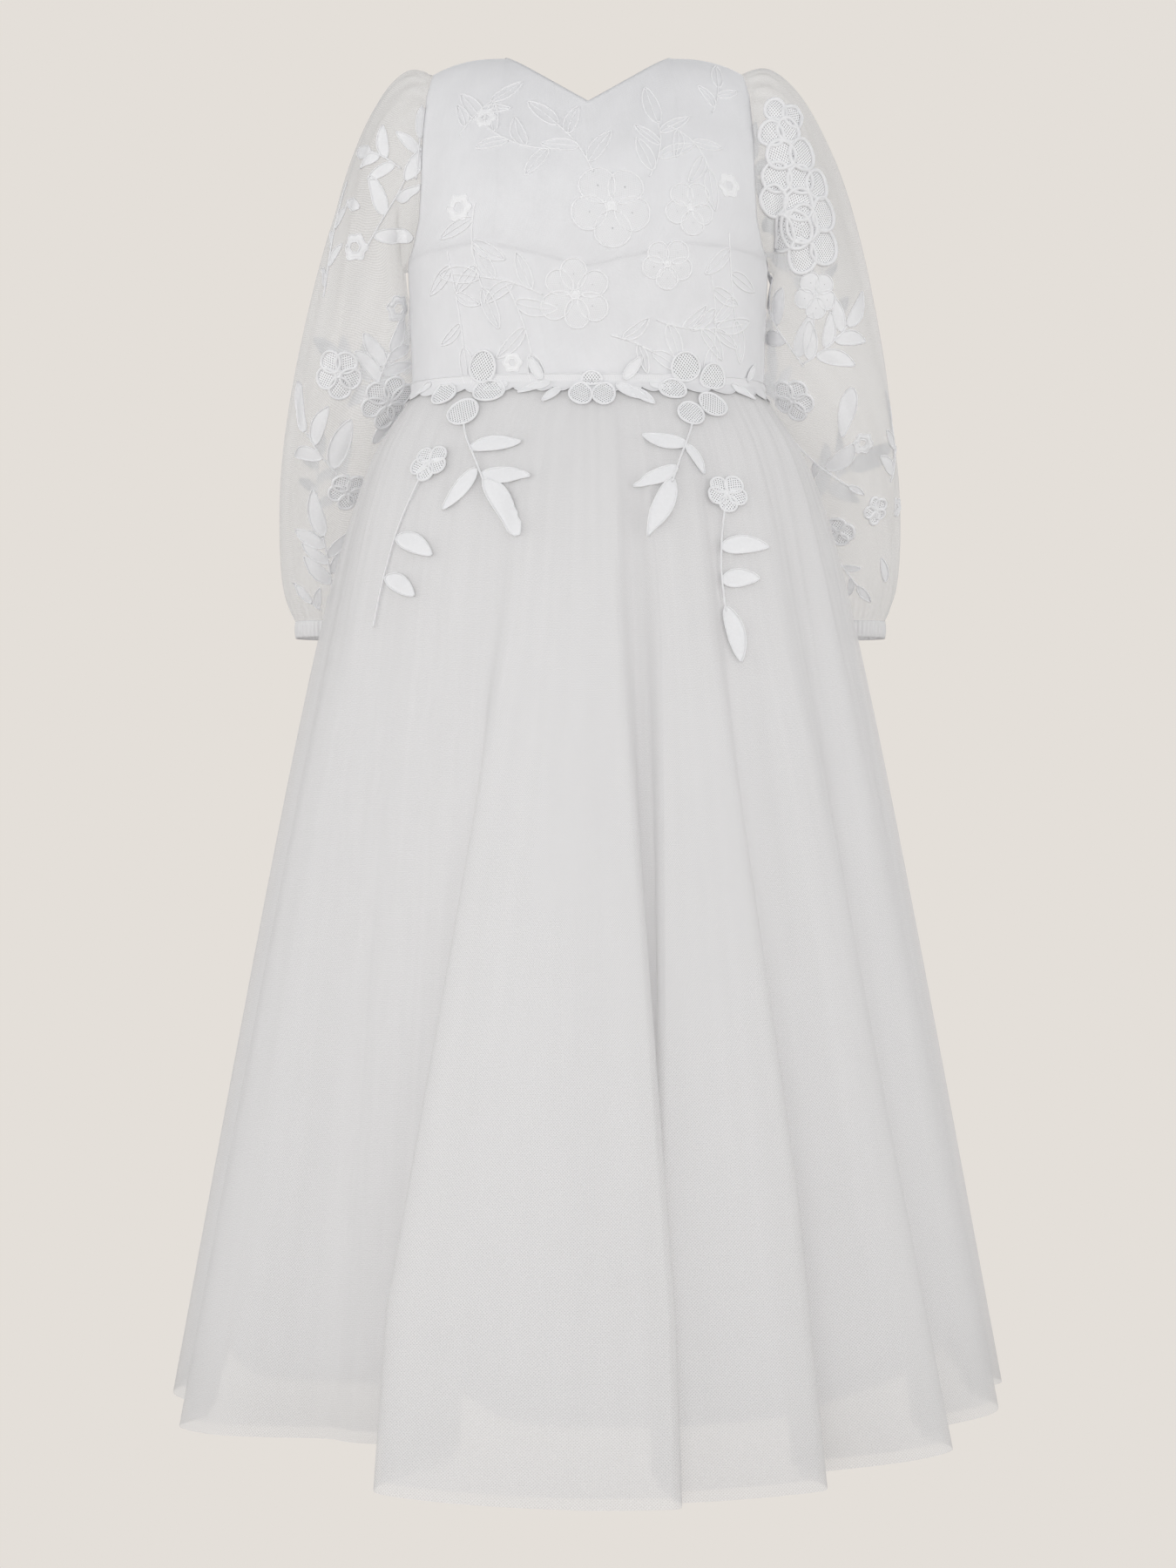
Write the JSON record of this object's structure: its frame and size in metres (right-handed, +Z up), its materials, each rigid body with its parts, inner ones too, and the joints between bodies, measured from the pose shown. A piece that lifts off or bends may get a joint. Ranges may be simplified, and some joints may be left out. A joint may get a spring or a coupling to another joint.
{
  "type": "communion dress",
  "caption": "Child's long white dress with a V neck, lace bodice, sheer full sleeves with cuffs, scalloped waist lace and a long layered tulle skirt, filled out as worn.",
  "frame": {"origin": "midway between the neck ends of the two shoulder seams, where the wearer's shoulders carry the dress", "axes": "+Z up, the front of the dress faces -Y, +X towards the wearer's left"},
  "size_m": [0.6282, 0.6733, 1.0413],
  "materials": {
    "lace": "white corded lace over white satin",
    "organza": "sheer white net",
    "tulle": "soft matt off-white tulle",
    "lining": "white satin with a soft sheen",
    "guipure": "white embroidered lace",
    "tape": "white woven zip tape",
    "enamel": "white enamel"
  },
  "bodies": {
    "dress": {"bodice_front": "lace", "bodice_back_left": "lace", "bodice_back_right": "lace", "sleeve_left": "organza", "sleeve_right": "organza", "cuff_left": "lining", "cuff_right": "lining", "skirt_tulle_front": "tulle", "skirt_tulle_back_left": "tulle", "skirt_tulle_back_right": "tulle", "skirt_under_front": "tulle", "skirt_under_back_left": "tulle", "skirt_under_back_right": "tulle", "skirt_lining_front": "lining", "skirt_lining_back_left": "lining", "skirt_lining_back_right": "lining", "waist_lace_front": "guipure", "waist_lace_back_left": "guipure", "waist_lace_back_right": "guipure", "spray_front_left": "guipure", "spray_front_right": "guipure", "spray_side_left": "guipure", "spray_side_right": "guipure", "zip_tape": "tape", "zip_slider": "enamel"},
    "pull": {"zip_pull": "enamel"}
  },
  "joints": [
    {"name": "pull_hinge", "type": "hinge", "parent": "dress", "child": "pull", "pos_m": [0, 0.06631, -0.03994], "axis": [1, 0, 0], "range_deg": [0, 150]}
  ]
}
